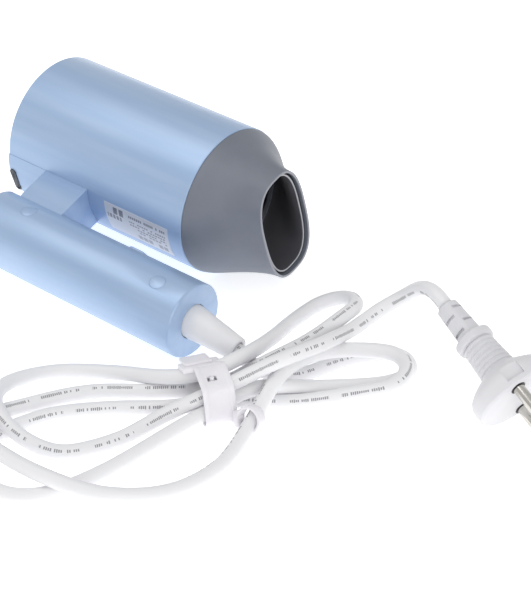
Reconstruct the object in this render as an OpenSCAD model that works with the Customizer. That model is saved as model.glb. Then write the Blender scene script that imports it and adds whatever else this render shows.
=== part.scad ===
// Folding travel hair dryer with a turnable concentrator nozzle and a tied mains cord.
// It lies on its side, folded: +X runs to the nozzle, +Z is up, the table is z = 0.
// Most parts are drawn in the dryer's own frame: x along the barrel, y from the handle to the
// barrel, z along the hinge pin, origin on the barrel's axis. placed() lays them on the table.

/* [Barrel] */
// Outer diameter of the barrel
barrel_d = 66; // [62:0.5:70]
// Length of the barrel, from its rear rim to the seam with the nozzle
barrel_len = 100.8; // [98:0.1:106]
// Wall thickness of the barrel
barrel_wall = 2; // [1.6:0.1:2.2]

/* [Nozzle] */
// Length of the nozzle in front of the seam
nozzle_len = 30.4; // [28:0.2:36]
// Long side of the oblong outlet
outlet_long = 55.2; // [50:0.2:57]
// Short side of the oblong outlet
outlet_short = 28.6; // [26:0.2:31]
// Wall thickness of the nozzle's outer shell
nozzle_wall = 1.1; // [0.9:0.1:1.4]

/* [Handle] */
// Outer diameter of the handle
handle_d = 32.6; // [31:0.2:33]
// Length of the handle
handle_len = 112.2; // [110:0.2:116]
// Distance between the axes of the handle and the barrel
axis_gap = 61.5; // [61.2:0.1:63]
// Wall thickness of the handle
handle_wall = 2; // [1.8:0.1:2.4]

/* [Hinge] */
// Length of the neck block along the barrel
neck_len = 24.8; // [24:0.2:26]
// Width of the neck block across the fold
neck_w = 20; // [18:0.2:20.4]
// Radius of the steel hinge pin
pin_r = 2.5; // [2:0.1:2.8]

/* [Cord and plug] */
// Diameter of the mains cord
cord_d = 6.2; // [6:0.1:6.4]
// Length of the tapered strain relief outside the handle
relief_len = 24; // [22:1:28]
// Radius of a plug pin
plug_pin_r = 2.4; // [2.35:0.05:2.45]
// Length of a plug pin
plug_pin_len = 19; // [18:0.5:20]
// Distance between the two plug pins
plug_pin_gap = 19; // [18:0.5:20]

/* [Hidden] */
$fn = 64;
eps = 0.01;

barrel_r = barrel_d / 2;
handle_r = handle_d / 2;
body_len = barrel_len + nozzle_len;
rear_x = -body_len / 2;
seam_x = rear_x + barrel_len;
front_x = body_len / 2;

// The barrel and the handle both lie on the table, which tilts the fold plane.
tilt = asin((barrel_r - handle_r) / axis_gap);
body_width = barrel_r + handle_r + axis_gap * cos(tilt);
barrel_y = body_width / 2 - barrel_r;

// Handle, hinge and neck along x
handle_rear_x = -48.1;
handle_front_x = handle_rear_x + handle_len;
pin_x = -27.5;
pin_y = 4.4 - axis_gap;
neck_front_x = -18;
neck_rear_x = neck_front_x - neck_len;
knuckle_r = neck_front_x - pin_x;
slot_half = neck_w / 2 + 0.7;
cheek_cut_y = pin_y - (pin_x - neck_rear_x) - 0.5;

// Barrel inside
bore_r = barrel_r - barrel_wall;
duct_r = bore_r - 0.1;
fan_x = rear_x + 8;
fan_len = 9;
motor_x = rear_x + 21;
motor_len = 30;
motor_r = 13.8;
shaft_r = 1.15;
heater_x = motor_x + motor_len + 6;
heater_end_x = seam_x - 9.5;
liner_r = bore_r - 1.9;
screw_x = 49.3;
latch_r = 1.6;
latch_z = -3.2;

// Switch, on the side of the handle that faces the barrel
knob_x = 14;
knob_len = 11.6;
knob_travel = 6;

// Plug: centre of its face, and its turn about x, y and z
plug_at = [195, 3.3, 16];
plug_turn = [24, 16.4, -18.4];
plug_len = 50;

// Tie: its middle on the table, the turn of its strap, and the strap's width
tie_at = [95.5, -62.5, 0];
tie_turn = -33;
tie_width = 13;

relief_droop = 8;

// Screws, caps and wires in the handle
cap_hole_r = 3.5;
cap_r = 3.4;
cap_seat = 13;
head_seat = 13.6;
screw_r = 1.2;
wire_r = 1.1;
wire_y = 5;
wire_z = -2.6;
clamp_x = 40;
clamp_screw_y = 9;
clamp_low = wire_z + 1;
switch_low = -55.3;
switch_top = -50.6;
switch_half = 6;
switch_x = 2;
switch_len = 32;
cavity_x = neck_front_x + 5;

// Centreline of the cord, from the strain relief to the plug, and the rings along its tube
cord_rings = 80;
cord_route = [
    [86, -38, 13.3], [97, -38.5, 9], [108, -29, 3.5], [116, -11, 3.2], [124, 3, 3.5], [132.5, 8, 5],
    [141.5, 5.5, 6.5], [146.5, -3, 7.5], [144, -12, 8], [135, -21, 7.5], [122, -31, 6.5],
    [106, -50, 10], [96, -73, 5], [87, -121, 3.2], [78, -143, 3.2], [65, -151, 3.2], [49, -147, 3.2],
    [41, -133, 3.2], [47, -109, 3.2], [63, -90, 3.2], [83, -74, 4], [99, -56, 4.3], [120, -41, 4.5],
    [143, -25.5, 11.5], [150, -18, 13], [149, -7, 14], [140, -1, 13.5], [129, -3.5, 12],
    [114, -17, 11.8], [112, -41, 14.8], [116, -66, 6], [120, -89, 3.2], [115, -113, 4.5],
    [100, -132, 8.5], [77, -139, 9.6], [53, -140, 10], [39, -136, 9], [32, -125, 5.5], [38, -106, 3.2],
    [51, -86, 3.2], [71, -70, 3.5], [90, -55, 6], [102, -37, 13.5], [107, -16, 14], [109.5, 6, 16],
    [107.5, 16, 14], [98, 21, 10.5], [89.5, 15.5, 7], [86.5, 4, 5], [93, -25, 12.5], [95, -46, 17.5],
    [89, -59, 15.3], [75, -66.5, 10.5], [51, -73, 5], [31, -86, 3.5], [26, -108, 8.5],
    [33, -121, 11.5], [50, -127, 8.5], [67, -121, 3.5], [79, -102, 3.2], [86, -80, 6], [99, -60, 13.4],
    [111, -42, 21], [117, -18, 19], [115, 6, 12], [117, 18, 14], [124, 26, 20], [133, 25, 29],
    [142, 21.5, 32], [149.3, 18.5, 30.1]
];

// ---- helpers ----------------------------------------------------------------

// Lays a shape that is drawn in the dryer's own frame on the table
module placed() {
    translate([0, barrel_y, barrel_r]) rotate([tilt, 0, 0]) children();
}

// Solid rod along x, about the line at y
module rod(x0, x1, r, y = 0) {
    translate([x0, y, 0]) rotate([0, 90, 0]) cylinder(h = x1 - x0, r = r);
}

// Hollow rod along x
module pipe(x0, x1, r_out, r_in, y = 0) {
    difference() {
        rod(x0, x1, r_out, y);
        rod(x0 - 1, x1 + 1, r_in, y);
    }
}

// Rod along x with both its ends chamfered
module soft_rod(x0, x1, r, chamfer, y = 0) {
    translate([x0, y, 0]) rotate([0, 90, 0]) rotate_extrude()
        polygon([[0, 0], [r - chamfer, 0], [r, chamfer], [r, x1 - x0 - chamfer],
                 [r - chamfer, x1 - x0], [0, x1 - x0]]);
}

// Rod along the hinge pin's direction
module cross_rod(x, y, z0, z1, r) {
    translate([x, y, z0]) cylinder(h = z1 - z0, r = r);
}

// Box between two corners
module block(low, high) {
    translate(low) cube(high - low);
}

// ---- handle -----------------------------------------------------------------

// Handle before it is split: a round bar, hollow in front of the hinge
module handle_body() {
    difference() {
        soft_rod(handle_rear_x, handle_front_x, handle_r, 0.8, -axis_gap);
        rod(cavity_x, handle_front_x - 2.5, handle_r - handle_wall, -axis_gap);
        // room for the neck to swing out through the rear end
        block([handle_rear_x - 1, cheek_cut_y, -slot_half], [pin_x, -axis_gap + handle_r + 1, slot_half]);
        block([pin_x - 1, pin_y, -slot_half], [neck_front_x + 0.4, -axis_gap + handle_r + 1, slot_half]);
        translate([pin_x, pin_y, -slot_half]) cylinder(h = 2 * slot_half, r = knuckle_r + 0.8);
        // passage for the wires from the hinge
        rod(pin_x, cavity_x + 1, 4, -axis_gap);
        // pin, caps, screw, switch slot and strain relief
        cross_rod(pin_x, pin_y, -cap_seat, cap_seat, pin_r);
        cross_rod(pin_x, pin_y, cap_seat, 20, cap_hole_r);
        cross_rod(pin_x, pin_y, -20, -cap_seat, cap_hole_r);
        cross_rod(screw_x, -axis_gap, head_seat, 20, cap_hole_r);
        block([knob_x - knob_travel - 2, -axis_gap + handle_r - 4, -2.6],
              [knob_x + knob_len + 2, -axis_gap + handle_r + 1, 2.6]);
        rod(handle_front_x - 4, handle_front_x + 1, 7.6, -axis_gap);
    }
}

// Post that the handle screw pulls against
module screw_post(z0, z1, r, hole_r) {
    difference() {
        cross_rod(screw_x, -axis_gap, z0, z1, r);
        cross_rod(screw_x, -axis_gap, z0 - 1, z1 + 1, hole_r);
        cross_rod(screw_x, -axis_gap, head_seat, 20, cap_hole_r);
    }
}

// Ribs on one half of the handle that hold the switch from the side
module switch_ribs(side) {
    intersection() {
        rod(switch_x, switch_x + switch_len, handle_r - 1, -axis_gap);
        for (x = [switch_x + 1, switch_x + switch_len - 3.5])
            block([x, switch_low, side > 0 ? switch_half : -handle_r],
                  [x + 2.5, switch_top, side > 0 ? handle_r : -switch_half]);
    }
}

// Saddle under the wires, with a post for each screw of the clamp
module clamp_saddle() {
    difference() {
        intersection() {
            rod(clamp_x - 5, clamp_x + 5, handle_r - 1, -axis_gap);
            union() {
                block([clamp_x - 3, -axis_gap - 6.4, -handle_r],
                      [clamp_x + 3, -axis_gap + 6.4, wire_z - wire_r]);
                for (side = [-1, 1])
                    cross_rod(clamp_x, -axis_gap + side * clamp_screw_y, -handle_r, clamp_low, 2.6);
            }
        }
        for (side = [-1, 1])
            cross_rod(clamp_x, -axis_gap + side * clamp_screw_y, -8, 0, screw_r);
    }
}

module handle_half(side) {
    intersection() {
        handle_body();
        block([handle_rear_x - 5, -axis_gap - handle_r - 5, min(0, side * 40)],
              [handle_front_x + 5, -axis_gap + handle_r + 5, max(0, side * 40)]);
    }
}

module handle_upper() {
    color("#96b2d2") placed() union() {
        handle_half(1);
        switch_ribs(1);
        screw_post(6, 15.2, 4.6, 1.7);
    }
}

module handle_lower() {
    color("#96b2d2") placed() union() {
        handle_half(-1);
        switch_ribs(-1);
        clamp_saddle();
        screw_post(-14, -2, 3.7, screw_r);
    }
}

module hinge_pin() {
    color("silver") placed() cross_rod(pin_x, pin_y, 0.1 - cap_seat, cap_seat - 0.1, pin_r);
}

module hinge_washers() {
    color("silver") placed() for (side = [-1, 1])
        translate([pin_x, pin_y, side * (neck_w / 2 + 0.35) - 0.25]) difference() {
            cylinder(h = 0.5, r = 6.5);
            translate([0, 0, -1]) cylinder(h = 3, r = pin_r + 0.1);
        }
}

module hinge_caps() {
    color("#96b2d2") placed() intersection() {
        union() {
            cross_rod(pin_x, pin_y, cap_seat, 20, cap_r);
            cross_rod(pin_x, pin_y, -20, -cap_seat, cap_r);
        }
        rod(pin_x - 10, pin_x + 10, handle_r, -axis_gap);
    }
}

module screw_plug() {
    color("#96b2d2") placed() intersection() {
        cross_rod(screw_x, -axis_gap, head_seat + 1.4, 20, cap_r);
        rod(screw_x - 10, screw_x + 10, handle_r, -axis_gap);
    }
}

module handle_screw() {
    color("silver") placed() union() {
        cross_rod(screw_x, -axis_gap, -8, head_seat, screw_r);
        cross_rod(screw_x, -axis_gap, head_seat, head_seat + 1.2, 2.8);
    }
}

module switch_body() {
    color("#303236") placed()
        block([switch_x, switch_low, -switch_half], [switch_x + switch_len, switch_top, switch_half]);
}

module switch_knob() {
    top = handle_r - axis_gap;
    color("#96b2d2") placed() union() {
        block([knob_x + 2, top - 5, -2.2], [knob_x + knob_len - 2, top + 0.5, 2.2]);
        translate([knob_x + knob_len / 2, top + 0.4, 0]) rotate([-90, 0, 0])
            linear_extrude(1) hull() for (side = [-1, 1])
                translate([side * (knob_len / 2 - 3.6), 0]) circle(r = 3.6);
    }
}

module noise_capacitor() {
    color("#d8b23a") placed() block([-10, -74.4, -6], [0, -69, 6]);
}

// Insulated cores from the strain relief past the clamp, and from the switch towards the hinge
module core_wires() {
    color("#b04a3c") placed() for (side = [-1, 1]) {
        translate([0, side * wire_y, wire_z]) rod(0, handle_front_x - 6.6, wire_r, -axis_gap);
        translate([0, 0, side * 2.4]) rod(cavity_x, switch_x, wire_r, (switch_low + switch_top) / 2);
    }
}

module cord_clamp() {
    color("#e8e8ea") placed() difference() {
        block([clamp_x - 3, -axis_gap - clamp_screw_y - 2, clamp_low],
              [clamp_x + 3, -axis_gap + clamp_screw_y + 2, clamp_low + 3]);
        for (side = [-1, 1]) {
            cross_rod(clamp_x, -axis_gap + side * clamp_screw_y, clamp_low - 1, clamp_low + 4,
                      screw_r + 0.1);
            translate([0, side * wire_y, wire_z]) rod(clamp_x - 4, clamp_x + 4, wire_r, -axis_gap);
        }
    }
}

module clamp_screws() {
    color("silver") placed() for (side = [-1, 1]) union() {
        cross_rod(clamp_x, -axis_gap + side * clamp_screw_y, clamp_low - 5, clamp_low + 3.1, screw_r);
        cross_rod(clamp_x, -axis_gap + side * clamp_screw_y, clamp_low + 3, clamp_low + 4.2, 2.1);
    }
}

// Tapered rubber sleeve, which droops a little under the cord's weight
module strain_relief() {
    color("#ebebee") placed() difference() {
        translate([handle_front_x, -axis_gap, 0]) rotate([-tilt, 0, 0]) union() {
            rotate([0, 90, 0]) translate([0, 0, -2.7]) cylinder(h = 2.8, r = 7.5);
            rotate([0, 90, 0]) translate([0, 0, -6.4]) cylinder(h = 3.8, r = 9);
            rotate([0, 90 + relief_droop, 0]) cylinder(h = relief_len, r1 = 7.3, r2 = 5.1);
        }
        translate([handle_front_x, -axis_gap, 0]) rotate([-tilt, 0, 0])
            rotate([0, 90 + relief_droop, 0]) translate([0, 0, -8])
                cylinder(h = relief_len + 10, r = cord_d / 2);
    }
}

// ---- barrel -----------------------------------------------------------------

// Strip of barrel wall that belongs to the neck, from the neck to the rear rim
module neck_strip(gap) {
    block([rear_x - 1, -barrel_r - 1, -neck_w / 2 - gap],
          [neck_front_x + gap, -barrel_r + 7, neck_w / 2 + gap]);
}

module tube_wall() {
    difference() {
        soft_rod(rear_x, seam_x, barrel_r, 0.5);
        rod(rear_x - 1, seam_x + 1, bore_r);
    }
}

module barrel_tube() {
    color("#96b2d2") placed() union() {
        difference() {
            tube_wall();
            neck_strip(0.1);
            latch_shape(latch_r + 0.1, 6);
        }
        // ribs that carry the heater
        for (i = [0:3]) rotate([45 + i * 90, 0, 0])
            block([heater_x, liner_r, -0.8], [heater_end_x, bore_r + 0.3, 0.8]);
    }
}

// Flat-topped band of the barrel wall behind the neck, a little proud of the round wall
module neck_band() {
    top = -barrel_r - 1;
    translate([rear_x, 0, 0]) rotate([90, 0, 90]) linear_extrude(neck_front_x - rear_x)
        polygon([[top + 5, neck_w / 2], [top + 2.4, neck_w / 2], [top + 1.2, 7], [top + 0.3, 3.5],
                 [top, 0], [top - 0.1, -6], [top + 0.1, -neck_w / 2], [top + 5, -neck_w / 2]]);
}

module neck() {
    color("#96b2d2") placed() difference() {
        union() {
            difference() {
                neck_band();
                rod(rear_x - 1, neck_front_x + 1, bore_r);
            }
            difference() {
                block([neck_rear_x, -48, -neck_w / 2], [neck_front_x, -barrel_r + 3, neck_w / 2]);
                rod(neck_rear_x - 1, neck_front_x + 1, bore_r + 0.4);
            }
            intersection() {
                block([neck_rear_x, -60, -neck_w / 2], [neck_front_x, -45, neck_w / 2]);
                translate([neck_rear_x + 16.5, -45, -neck_w / 2]) cylinder(h = neck_w, r = 16.5);
            }
            cross_rod(pin_x, pin_y, -neck_w / 2, neck_w / 2, knuckle_r);
        }
        latch_shape(latch_r + 0.1, 6);
        cross_rod(pin_x, pin_y, -neck_w, neck_w, pin_r + 0.05);
        // passage for the wires
        translate([neck_rear_x + 6, -29, 0]) rotate([90, 0, 0]) cylinder(h = 18, r = 3);
    }
}

// Obround latch tab of the rear grille, seen in a notch of the rear rim
module latch_shape(r, depth) {
    translate([rear_x + latch_r + 0.1, -barrel_r - 1.4, latch_z]) rotate([-90, 0, 0])
        linear_extrude(depth) hull() for (side = [-1, 1]) translate([0, side * 4.6]) circle(r = r);
}

module rear_grille() {
    rows = 4;
    color("#55585f") placed() union() {
        pipe(rear_x + 0.6, rear_x + 6.4, duct_r, duct_r - 2);
        latch_shape(latch_r, 5.6);
        difference() {
            rod(rear_x + 0.6, rear_x + 2.4, duct_r - 1);
            rod(rear_x, rear_x + 3, 1.6);
            for (row = [1:rows], i = [0:row * 6 - 1])
                rotate([i * 60 / row, 0, 0]) translate([0, row * 6.3, 0]) rod(rear_x, rear_x + 3, 2.1);
        }
    }
}

module intake_filter() {
    color("#8a8d93") placed() pipe(rear_x + 2.4, rear_x + 3.2, duct_r - 2.05, 1.5);
}

// Sleeve with stator vanes that hold the motor's cup behind the fan
module motor_holder() {
    vanes = 9;
    color("#d9d9d4") placed() union() {
        pipe(rear_x + 6.6, motor_x + 26, duct_r, duct_r - 1.2);
        difference() {
            union() {
                rod(motor_x - 2, motor_x + 26, motor_r + 1.7);
                for (i = [0:vanes - 1]) rotate([i * 360 / vanes, 0, 0])
                    block([motor_x + 1, motor_r + 1, -0.7], [motor_x + 24, duct_r - 0.6, 0.7]);
            }
            rod(motor_x, motor_x + 27, motor_r + 0.1);
            rod(motor_x - 3, motor_x + 1, 3.4);
        }
    }
}

module motor() {
    color("silver") placed() difference() {
        union() {
            rod(motor_x, motor_x + motor_len, motor_r);
            rod(motor_x - 1.5, motor_x + 1, 3.2);
            rod(motor_x + motor_len - 1, motor_x + motor_len + 2, 4.5);
        }
        rod(motor_x - 3, motor_x + 14, shaft_r + 0.05);
    }
}

module rectifier_board() {
    board_x = motor_x + motor_len + 2;
    color("#2f6a48") placed() union() {
        rod(board_x, board_x + 1.4, 12);
        for (i = [0:3]) rotate([45 + i * 90, 0, 0])
            block([board_x + 1.3, 5, -1.3], [board_x + 3.4, 10, 1.3]);
    }
}

module motor_shaft() {
    color("silver") placed() rod(fan_x + 1, motor_x + 13, shaft_r);
}

module fan_impeller() {
    blades = 7;
    tip_r = duct_r - 2.2;
    color("#c9ccd0") placed() difference() {
        union() {
            soft_rod(fan_x, fan_x + fan_len, 8, 1);
            intersection() {
                for (i = [0:blades - 1]) rotate([i * 360 / blades, 0, 0])
                    translate([fan_x + fan_len / 2, 0, 0]) rotate([0, 55, 0])
                        block([-0.6, 6, -6.5], [0.6, tip_r + 3, 6.5]);
                rod(fan_x, fan_x + fan_len, tip_r);
            }
        }
        rod(fan_x + 0.9, fan_x + fan_len + 1, shaft_r);
    }
}

module heater_liner() {
    color("#cdbf9a") placed() pipe(heater_x, heater_end_x, liner_r, liner_r - 0.8);
}

module mica_boards() {
    half = liner_r - 0.8;
    color("#d8cba6") placed() union() {
        block([heater_x + 1, -half, -0.5], [heater_end_x - 1, half, 0.5]);
        block([heater_x + 1, -0.5, -half], [heater_end_x - 1, 0.5, half]);
    }
}

module heater_coils() {
    turns = 7;
    pitch = (heater_end_x - heater_x - 8) / (turns - 1);
    color("#8f8f92") placed() for (r = [15, 22.5], i = [0:turns - 1])
        translate([heater_x + 4 + i * pitch, 0, 0]) rotate([0, 90, 0])
            rotate_extrude() translate([r, 0]) circle(r = 0.7);
}

module thermostat() {
    color("#c9b07a") placed() block([heater_x + 14, 2, 0.5], [heater_x + 24, 9, 4.5]);
}

module thermal_fuse() {
    color("#b8bcc2") placed() translate([0, -6, 2.3]) rod(heater_x + 12, heater_x + 26, 1.8);
}

module outlet_grille() {
    x0 = heater_end_x;
    rim_r = liner_r;
    color("#3c3e44") placed() union() {
        for (r = [8, 15, 22]) pipe(x0, x0 + 3, r + 0.7, r - 0.7);
        pipe(x0, x0 + 3.5, rim_r, rim_r - 1.4);
        for (i = [0:5]) rotate([i * 60, 0, 0]) block([x0, 3, -0.6], [x0 + 3, rim_r - 0.5, 0.6]);
        rod(x0, x0 + 3, 4);
    }
}

module rating_label() {
    half = 8.3;
    color("#e6e6e8") placed() intersection() {
        pipe(-8.2, 27.8, barrel_r + 0.12, barrel_r);
        block([-9, -barrel_r - 1, -half], [29, -20, half]);
    }
}

// ---- nozzle -----------------------------------------------------------------

// How far the section has changed from round (0) to oblong (1), at the share s of the length
function blend(s) = let (t = pow(s, 0.8)) t * t * (3 - 2 * t);
function mix(a, b, w) = a + (b - a) * w;
function power(v, p) = sign(v) * pow(abs(v), p);

// Ring of points of a section with half widths a along y and b along z, and roundness p
function section(x, a, b, p, n) = [for (i = [0:n - 1])
    [x, a * power(cos(i * 360 / n), 2 / p), b * power(sin(i * 360 / n), 2 / p)]];

// Rings from x0 to x1, from a circle of radius r to an oblong with half widths a and b
function loft(x0, x1, r, a, b, steps, n) = [for (k = [0:steps]) let (s = k / steps, w = blend(s))
    section(mix(x0, x1, s), mix(r, a, w), mix(r, b, w), mix(2, 2.8, w * w), n)];

// Closed skin over rings, each joined to the next and the last to the first
module ring_skin(rings) {
    n = len(rings[0]);
    m = len(rings);
    polyhedron([for (ring = rings) for (point = ring) point],
        [for (k = [0:m - 1], i = [0:n - 1]) let (j = (i + 1) % n, k2 = (k + 1) % m)
            each [[k * n + i, k * n + j, k2 * n + j], [k * n + i, k2 * n + j, k2 * n + i]]]);
}

function reversed(list) = [for (i = [len(list) - 1:-1:0]) list[i]];

// Tapering double-skinned wall: outer rings forward, inner rings back
module loft_wall(x0, x1, r, a, b, wall) {
    steps = 12;
    n = 56;
    ring_skin(concat(loft(x0, x1, r, a, b, steps, n),
        reversed(loft(x0, x1, r - wall, a - wall, b - wall, steps, n))));
}

module nozzle_shell() {
    color("#787e8a") placed()
        loft_wall(seam_x + 0.3, front_x, barrel_r - 0.25, outlet_short / 2, outlet_long / 2, nozzle_wall);
}

module nozzle_duct() {
    gap = nozzle_wall + 0.8;
    color("#5b5f69") placed()
        loft_wall(seam_x + 2.8, front_x - 1.7, 27.6, outlet_short / 2 - gap, outlet_long / 2 - gap, 0.8);
}

module nozzle_collar() {
    color("#787e8a") placed() union() {
        pipe(heater_end_x + 0.5, seam_x + 1.2, bore_r - 0.3, bore_r - 1.5);
        pipe(seam_x + 1.2, seam_x + 2.8, bore_r - 0.2, 26);
    }
}

// ---- cord, tie and plug -----------------------------------------------------

// Point at share t between p1 and p2 on a smooth curve through four points
function knot(a, b) = max(sqrt(norm(b - a)), 0.001);
function smooth_point(p0, p1, p2, p3, t) = let (
    t1 = knot(p0, p1), t2 = t1 + knot(p1, p2), t3 = t2 + knot(p2, p3), u = mix(t1, t2, t),
    a1 = mix(p0, p1, u / t1), a2 = mix(p1, p2, t), a3 = mix(p2, p3, (u - t2) / (t3 - t2)),
    b1 = mix(a1, a2, u / t2), b2 = mix(a2, a3, (u - t1) / (t3 - t1)))
    mix(b1, b2, t);
function at(list, i) = list[max(0, min(len(list) - 1, i))];
function smooth_at(list, u) = let (i = min(floor(u), len(list) - 2))
    smooth_point(at(list, i - 1), at(list, i), at(list, i + 1), at(list, i + 2), u - i);
// Keeps the cord from sinking into the table
function lifted(p) = [p[0], p[1], max(p[2], cord_d / 2 + 0.05)];
function fine_route(list, rings) = [for (k = [0:rings - 1])
    lifted(smooth_at(list, k * (len(list) - 1) / (rings - 1)))];
function unit(v) = v / norm(v);

// Ring of points round p, square to the direction d
function cord_ring(p, d, r, n) = let (side = unit(cross(d, [0, 0, 1])), up = cross(side, d))
    [for (i = [0:n - 1]) p + r * (cos(i * 360 / n) * side + sin(i * 360 / n) * up)];

module swept_cord(line, r, n) {
    m = len(line);
    rings = [for (i = [0:m - 1]) cord_ring(line[i], unit(at(line, i + 1) - at(line, i - 1)), r, n)];
    polyhedron([for (ring = rings) for (point = ring) point],
        concat([[for (i = [0:n - 1]) i]],
            [for (k = [0:m - 2], i = [0:n - 1]) let (j = (i + 1) % n)
                each [[k * n + i, (k + 1) * n + j, k * n + j],
                      [k * n + i, (k + 1) * n + i, (k + 1) * n + j]]],
            [[for (i = [n - 1:-1:0]) (m - 1) * n + i]]));
}

module power_cord() {
    color("#ececee") swept_cord(fine_route(cord_route, cord_rings), cord_d / 2, 8);
}

module at_plug() {
    translate(plug_at) rotate(plug_turn) children();
}

module plug_body() {
    color("#ececee") at_plug() difference() {
        union() {
            rotate([0, 90, 0]) rotate_extrude() polygon([[0, -plug_len], [4.6, -plug_len],
                [5.4, -34], [6, -33], [8, -32], [8, -29.4], [6.4, -29.2], [7.4, -15], [8.4, -12], [0, -12]]);
            hull() {
                translate([-7, 0, 0]) rotate([0, 90, 0]) scale([0.77, 1, 1])
                    cylinder(h = 6.6, r = 18, $fn = 48);
                translate([-14.5, 0, 0]) rotate([0, 90, 0]) cylinder(h = 1, r = 7.4, $fn = 32);
            }
        }
        for (side = [-1, 1])
            translate([0, 0, side * plug_pin_gap / 2]) rod(-12, 1, plug_pin_r - 0.4);
    }
}

module plug_pins() {
    color("silver") at_plug() for (side = [-1, 1])
        translate([0, 0, side * plug_pin_gap / 2]) union() {
            rod(-11.5, 0.1, plug_pin_r - 0.4);
            rod(0, plug_pin_len - 0.4, plug_pin_r);
        }
}

module pin_collars() {
    color("#202124") at_plug() for (side = [-1, 1])
        translate([0, 0, side * plug_pin_gap / 2]) pipe(-1, -0.2, 3.15, plug_pin_r - 0.4);
}

// Strands of the cord inside the tie, across it and up from the table
module strand_outline(r) {
    strands = [[6.5, 4.6], [5, 7.6], [0, 4.4], [-9.5, 4.6], [-8, 12.5], [-5, 15.6], [3.5, 13.8], [3, 9.5]];
    hull() for (strand = strands) translate(strand) circle(r = r, $fn = 24);
}

// Strap round the five strands, with its buckle, its free end and a small ring that the cord runs through
module cord_tie() {
    color("#f0eef2") translate(tie_at) rotate([0, 0, tie_turn]) union() {
        translate([0, tie_width / 2, 0]) rotate([90, 0, 0]) linear_extrude(tie_width) difference() {
            strand_outline(4.4);
            strand_outline(3.2);
        }
        block([-14, -9, 17.6], [-5, 7.5, 20.2]);
        block([-18, -8, 20], [-7, 3, 21.6]);
        block([10.5, 4, 2.5], [13.5, 6.6, 8.5]);
        translate([17.5, 9.5, 8]) rotate([68, 0, 35]) translate([0, 0, -2.5]) difference() {
            cylinder(h = 5, r = 5.4);
            translate([0, 0, -1]) cylinder(h = 7, r = 3.9);
        }
        block([11.5, 5, 3], [14.8, 8, 8]);
    }
}

handle_upper();
handle_lower();
hinge_pin();
hinge_washers();
hinge_caps();
screw_plug();
handle_screw();
switch_body();
switch_knob();
noise_capacitor();
core_wires();
cord_clamp();
clamp_screws();
strain_relief();
barrel_tube();
neck();
rear_grille();
intake_filter();
motor_holder();
motor();
rectifier_board();
motor_shaft();
fan_impeller();
heater_liner();
mica_boards();
heater_coils();
thermostat();
thermal_fuse();
outlet_grille();
rating_label();
nozzle_collar();
nozzle_duct();
nozzle_shell();
power_cord();
cord_tie();
plug_body();
plug_pins();
pin_collars();
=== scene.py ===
# Folding travel hair dryer with a concentrator nozzle and a tied mains cord.
# Everything is in metres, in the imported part's frame: +X runs to the nozzle, +Z is up.
import math

import bmesh
import bpy
from mathutils import Matrix, Vector


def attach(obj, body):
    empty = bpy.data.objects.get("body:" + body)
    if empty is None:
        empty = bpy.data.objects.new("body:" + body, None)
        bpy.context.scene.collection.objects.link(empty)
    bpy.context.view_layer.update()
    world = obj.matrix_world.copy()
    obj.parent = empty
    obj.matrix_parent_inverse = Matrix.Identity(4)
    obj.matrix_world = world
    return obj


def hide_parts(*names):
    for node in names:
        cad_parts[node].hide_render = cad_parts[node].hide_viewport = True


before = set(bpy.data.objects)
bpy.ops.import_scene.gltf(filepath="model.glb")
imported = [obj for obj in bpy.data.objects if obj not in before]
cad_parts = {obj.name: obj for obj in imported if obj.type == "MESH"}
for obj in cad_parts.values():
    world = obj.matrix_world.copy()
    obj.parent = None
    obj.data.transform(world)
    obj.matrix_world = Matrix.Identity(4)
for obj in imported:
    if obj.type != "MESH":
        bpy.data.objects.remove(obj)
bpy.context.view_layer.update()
MM = 0.001

# ---- camera ------------------------------------------------------------------

AZIMUTH, ELEVATION = math.radians(38.624), math.radians(36.07)
TARGET = Vector((63.9, 9.47, 0)) * MM
DISTANCE, LENS = 0.7928, 110.903
BACK = Vector((math.sin(AZIMUTH) * math.cos(ELEVATION),
               -math.cos(AZIMUTH) * math.cos(ELEVATION), math.sin(ELEVATION)))


def look_along(obj, back, roll_up=Vector((0, 0, 1))):
    """Turns a camera or light so that it looks against the direction back."""
    right = roll_up.cross(back).normalized()
    up = back.cross(right)
    obj.matrix_world = Matrix.Translation(obj.location) @ Matrix((right, up, back)).transposed().to_4x4()


camera_data = bpy.data.cameras.new("camera")
camera_data.sensor_width = 36
camera_data.lens = LENS
camera_data.clip_end = 20
camera = bpy.data.objects.new("camera", camera_data)
bpy.context.scene.collection.objects.link(camera)
camera.location = TARGET + BACK * DISTANCE
look_along(camera, BACK)
bpy.context.scene.camera = camera

# ---- making pieces -----------------------------------------------------------


def solid(name, mesh_maker):
    """An object whose mesh comes from a function that fills a bmesh."""
    mesh = bpy.data.meshes.new(name)
    bm = bmesh.new()
    mesh_maker(bm)
    bmesh.ops.recalc_face_normals(bm, faces=bm.faces)
    bm.to_mesh(mesh)
    bm.free()
    obj = bpy.data.objects.new(name, mesh)
    bpy.context.scene.collection.objects.link(obj)
    return obj


def piece(name, mesh_maker, body, slot, *nodes, smooth=40):
    """A new piece from a function that fills a bmesh; it rides on body and stands for the nodes."""
    obj = solid(name, mesh_maker)
    shade(obj, smooth)
    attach(obj, body)
    if nodes:
        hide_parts(*nodes)
    return obj


def shade(obj, angle):
    """Smooth shading, with edges sharper than angle kept crisp."""
    mesh = obj.data
    mesh.shade_smooth()
    if angle:
        mesh.set_sharp_from_angle(angle=math.radians(angle))


def apply(obj, *modifiers):
    """Adds each (kind, settings) modifier and bakes its result into the mesh."""
    for kind, settings in modifiers:
        mod = obj.modifiers.new(kind.lower(), kind)
        for key, value in settings.items():
            setattr(mod, key, value)
    graph = bpy.context.evaluated_depsgraph_get()
    mesh = bpy.data.meshes.new_from_object(obj.evaluated_get(graph))
    obj.modifiers.clear()
    old = obj.data
    obj.data = mesh
    bpy.data.meshes.remove(old)
    return obj


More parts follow.
